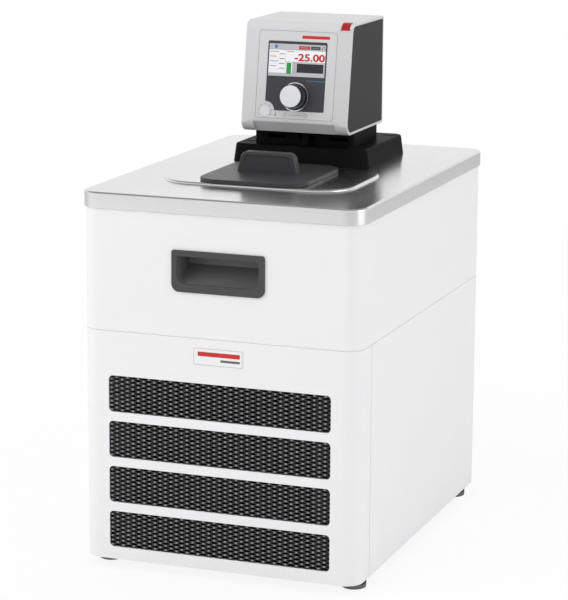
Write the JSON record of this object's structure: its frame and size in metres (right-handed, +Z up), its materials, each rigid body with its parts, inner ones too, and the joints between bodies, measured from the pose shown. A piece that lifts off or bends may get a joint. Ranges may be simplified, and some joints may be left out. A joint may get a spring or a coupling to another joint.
{
  "type": "refrigerated circulator",
  "caption": "Benchtop refrigerated circulator: white casing with vent slots, stainless deck, lidded bath and a tilted control head on a black bridge.",
  "frame": {"origin": "centre of the casing's footprint on the floor, under the feet", "axes": "+Z up, -Y towards the front with the vent slots and the display, +X to the right seen from the front"},
  "size_m": [0.334, 0.475, 0.6056],
  "materials": {
    "white_paint": "fine smooth powder coat",
    "zinc_sheet": "dull galvanised sheet",
    "dark_sheet": "matt black coated steel",
    "stainless": "brushed along the length",
    "bath_steel": "fine satin",
    "foam": "closed cell foam",
    "grip_plastic": "fine texture",
    "lid_plastic": "fine texture",
    "black_plastic": "satin",
    "foot_rubber": "matt",
    "head_plastic": "smooth satin",
    "side_plastic": "fine texture",
    "face_film": "satin film",
    "panel_film": "smooth",
    "screen_glass": "clear front over a lit display",
    "ring_metal": "polished",
    "knob_plastic": "smooth",
    "cap_plastic": "satin",
    "red_plastic": "smooth",
    "board": "solder mask",
    "part_plastic": "moulded",
    "motor_metal": "cast",
    "fin_metal": "bare fins",
    "copper_tube": "bare tube",
    "port_metal": "turned"
  },
  "bodies": {
    "casing": {"base_tray": "zinc_sheet", "feet": "foot_rubber", "chassis_frame": "zinc_sheet", "side_panel_left": "white_paint", "side_panel_right": "white_paint", "rear_panel": "white_paint", "upper_casing": "white_paint", "front_grip": "grip_plastic", "rear_grip": "grip_plastic", "deck_plate": "stainless", "bath_tank": "bath_steel", "tank_insulation": "foam", "bridge": "black_plastic", "bridge_plugs": "black_plastic", "bridge_plate": "stainless", "pump_ports": "port_metal", "neck": "black_plastic", "head_shell": "head_plastic", "head_side_left": "side_plastic", "head_side_right": "side_plastic", "head_rear_cover": "side_plastic", "face_plate": "face_film", "display_panel": "panel_film", "display_screen": "screen_glass", "display_board": "board", "knob_ring": "ring_metal", "encoder_body": "part_plastic", "cutoff_switch": "part_plastic", "pump_motor": "motor_metal", "pump_tube": "port_metal", "pump_housing": "port_metal", "heater_coil": "port_metal", "evaporator_coil": "port_metal", "float_stem": "port_metal", "temperature_sensor": "port_metal", "condenser": "fin_metal", "fan_shroud": "dark_sheet", "fan_motor": "dark_sheet", "compressor": "dark_sheet", "compressor_grommets": "foot_rubber", "electrics_box": "zinc_sheet", "mains_inlet": "black_plastic", "drain_pipe": "copper_tube", "drain_tap": "ring_metal"},
    "vent_panel": {"front_vent_panel": "white_paint", "vent_mesh": "dark_sheet", "badge_plate": "face_film"},
    "lid": {"bath_lid": "lid_plastic", "lid_grip": "lid_plastic"},
    "encoder": {"encoder_plunger": "port_metal"},
    "knob": {"control_knob": "knob_plastic", "knob_cap": "cap_plastic"},
    "cutoff": {"cutoff_dial": "cap_plastic"},
    "rocker": {"power_rocker": "red_plastic"},
    "lever": {"flow_lever": "black_plastic"},
    "fan": {"condenser_fan": "part_plastic"},
    "pump_rotor": {"pump_shaft": "port_metal", "impeller": "part_plastic"},
    "float": {"level_float": "part_plastic"},
    "tap_handle": {"tap_lever": "red_plastic"}
  },
  "joints": [
    {"name": "lid_lift", "type": "slide", "parent": "casing", "child": "lid", "axis": [0, 0, 1], "range_m": [0, 0.05]},
    {"name": "vent_panel_pull", "type": "slide", "parent": "casing", "child": "vent_panel", "axis": [0, -1, 0], "range_m": [0, 0.06]},
    {"name": "control_press", "type": "slide", "parent": "casing", "child": "encoder", "axis": [0, 0.9871, -0.1599], "range_m": [0, 0.001], "stiffness_N_per_m": 800, "springref_m": -0.001},
    {"name": "control_turn", "type": "hinge", "parent": "encoder", "child": "knob", "pos_m": [0, -0.00089, 0.52002], "axis": [0, -0.9871, 0.1599], "continuous": true},
    {"name": "cutoff_dial_turn", "type": "hinge", "parent": "casing", "child": "cutoff", "pos_m": [-0.036, 0.00416, 0.50117], "axis": [0, -0.9871, 0.1599], "range_deg": [-135, 135]},
    {"name": "power_rocker_tilt", "type": "hinge", "parent": "casing", "child": "rocker", "pos_m": [0.057, 0.026, 0.6007], "axis": [1, 0, 0], "range_deg": [-5, 0]},
    {"name": "flow_lever_swing", "type": "hinge", "parent": "casing", "child": "lever", "pos_m": [0.005, 0.054, 0.466], "axis": [0, 0, 1], "range_deg": [-20, 20]},
    {"name": "fan_spin", "type": "hinge", "parent": "casing", "child": "fan", "pos_m": [0, -0.171, 0.1295], "axis": [0, 1, 0], "continuous": true},
    {"name": "pump_spin", "type": "hinge", "parent": "casing", "child": "pump_rotor", "pos_m": [0, 0.085, 0.4], "axis": [0, 0, 1], "continuous": true},
    {"name": "float_rise", "type": "slide", "parent": "casing", "child": "float", "axis": [0, 0, 1], "range_m": [0, 0.02]},
    {"name": "drain_tap_turn", "type": "hinge", "parent": "casing", "child": "tap_handle", "pos_m": [0.05, 0.221, 0.074], "axis": [0, 0, 1], "range_deg": [0, 90]}
  ]
}
